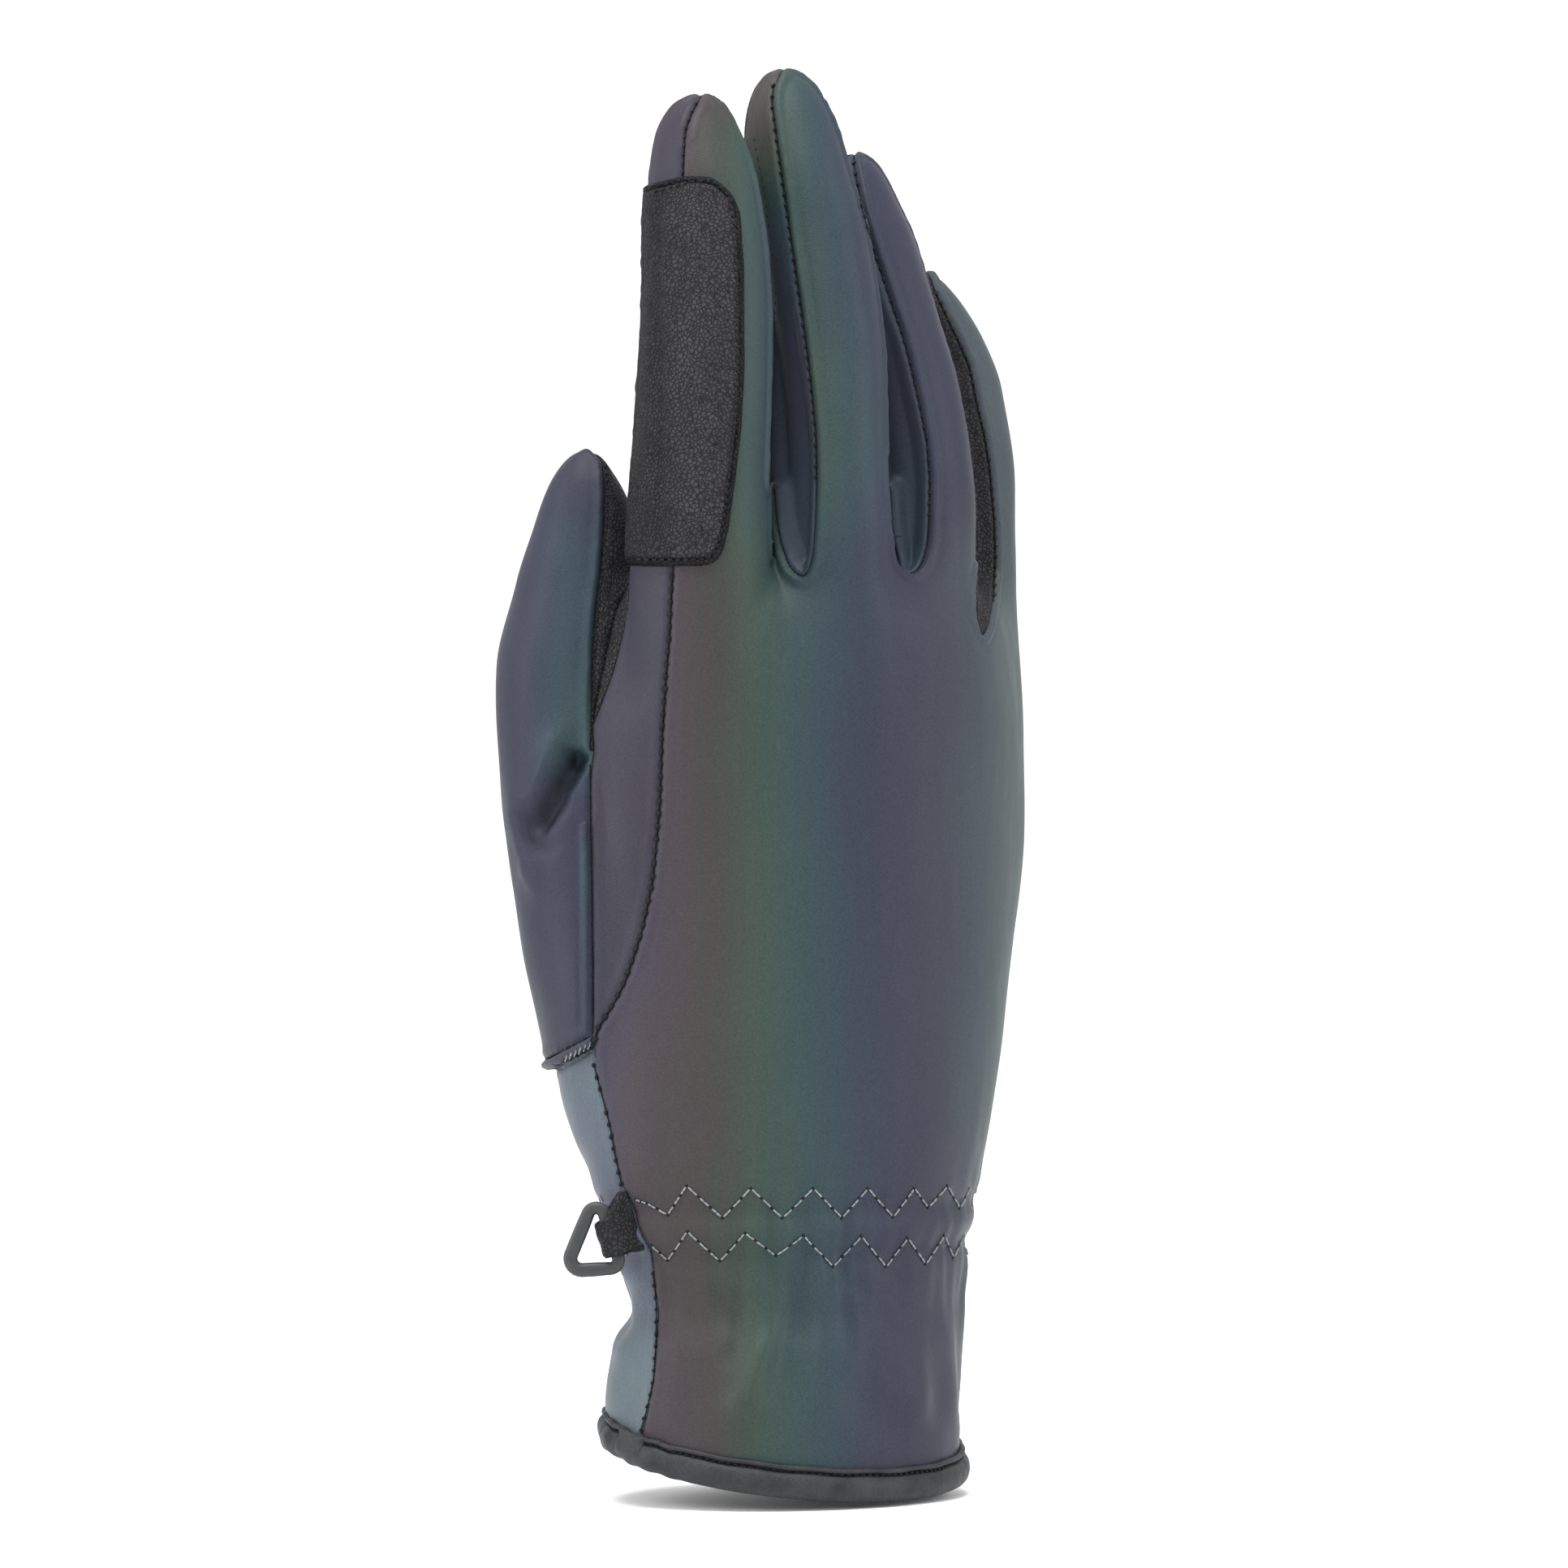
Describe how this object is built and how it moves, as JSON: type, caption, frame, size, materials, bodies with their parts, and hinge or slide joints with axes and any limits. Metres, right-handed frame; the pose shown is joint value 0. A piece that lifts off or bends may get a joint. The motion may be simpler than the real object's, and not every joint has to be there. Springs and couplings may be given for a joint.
{
  "type": "riding glove",
  "caption": "Full-finger riding glove for the right hand: iridescent softshell back, grained grip palm, index reinforcement patch, elasticated wrist and a small hook ring on a cuff tab.",
  "frame": {"origin": "middle of the slanted mouth of the cuff, where the hand goes in", "axes": "+Z from the cuff to the fingertips, -Y out of the back of the hand, -X towards the thumb"},
  "size_m": [0.0939, 0.0574, 0.2389],
  "materials": {
    "softshell": "satin",
    "grip": "matte",
    "patch": "satin",
    "binding": "matte",
    "plastic": "satin"
  },
  "bodies": {
    "glove": {"back_panel": "softshell", "index_side_panel": "softshell", "wrist_side_panel": "softshell", "thumb_back": "softshell", "thumb_hem": "softshell", "fourchette_index_middle": "softshell", "fourchette_middle_ring": "softshell", "fourchette_ring_little": "grip", "palm_panel": "grip", "thumb_grip": "grip", "index_patch": "patch", "cuff_binding": "binding", "ring_tab": "patch"},
    "ring": {"hook_ring": "plastic"}
  },
  "joints": [
    {"name": "ring_swing", "type": "hinge", "parent": "glove", "child": "ring", "pos_m": [-0.03531, -0.00267, 0.03892], "axis": [0.2587, -0.1617, -0.9523], "range_deg": [-55, 55]}
  ]
}
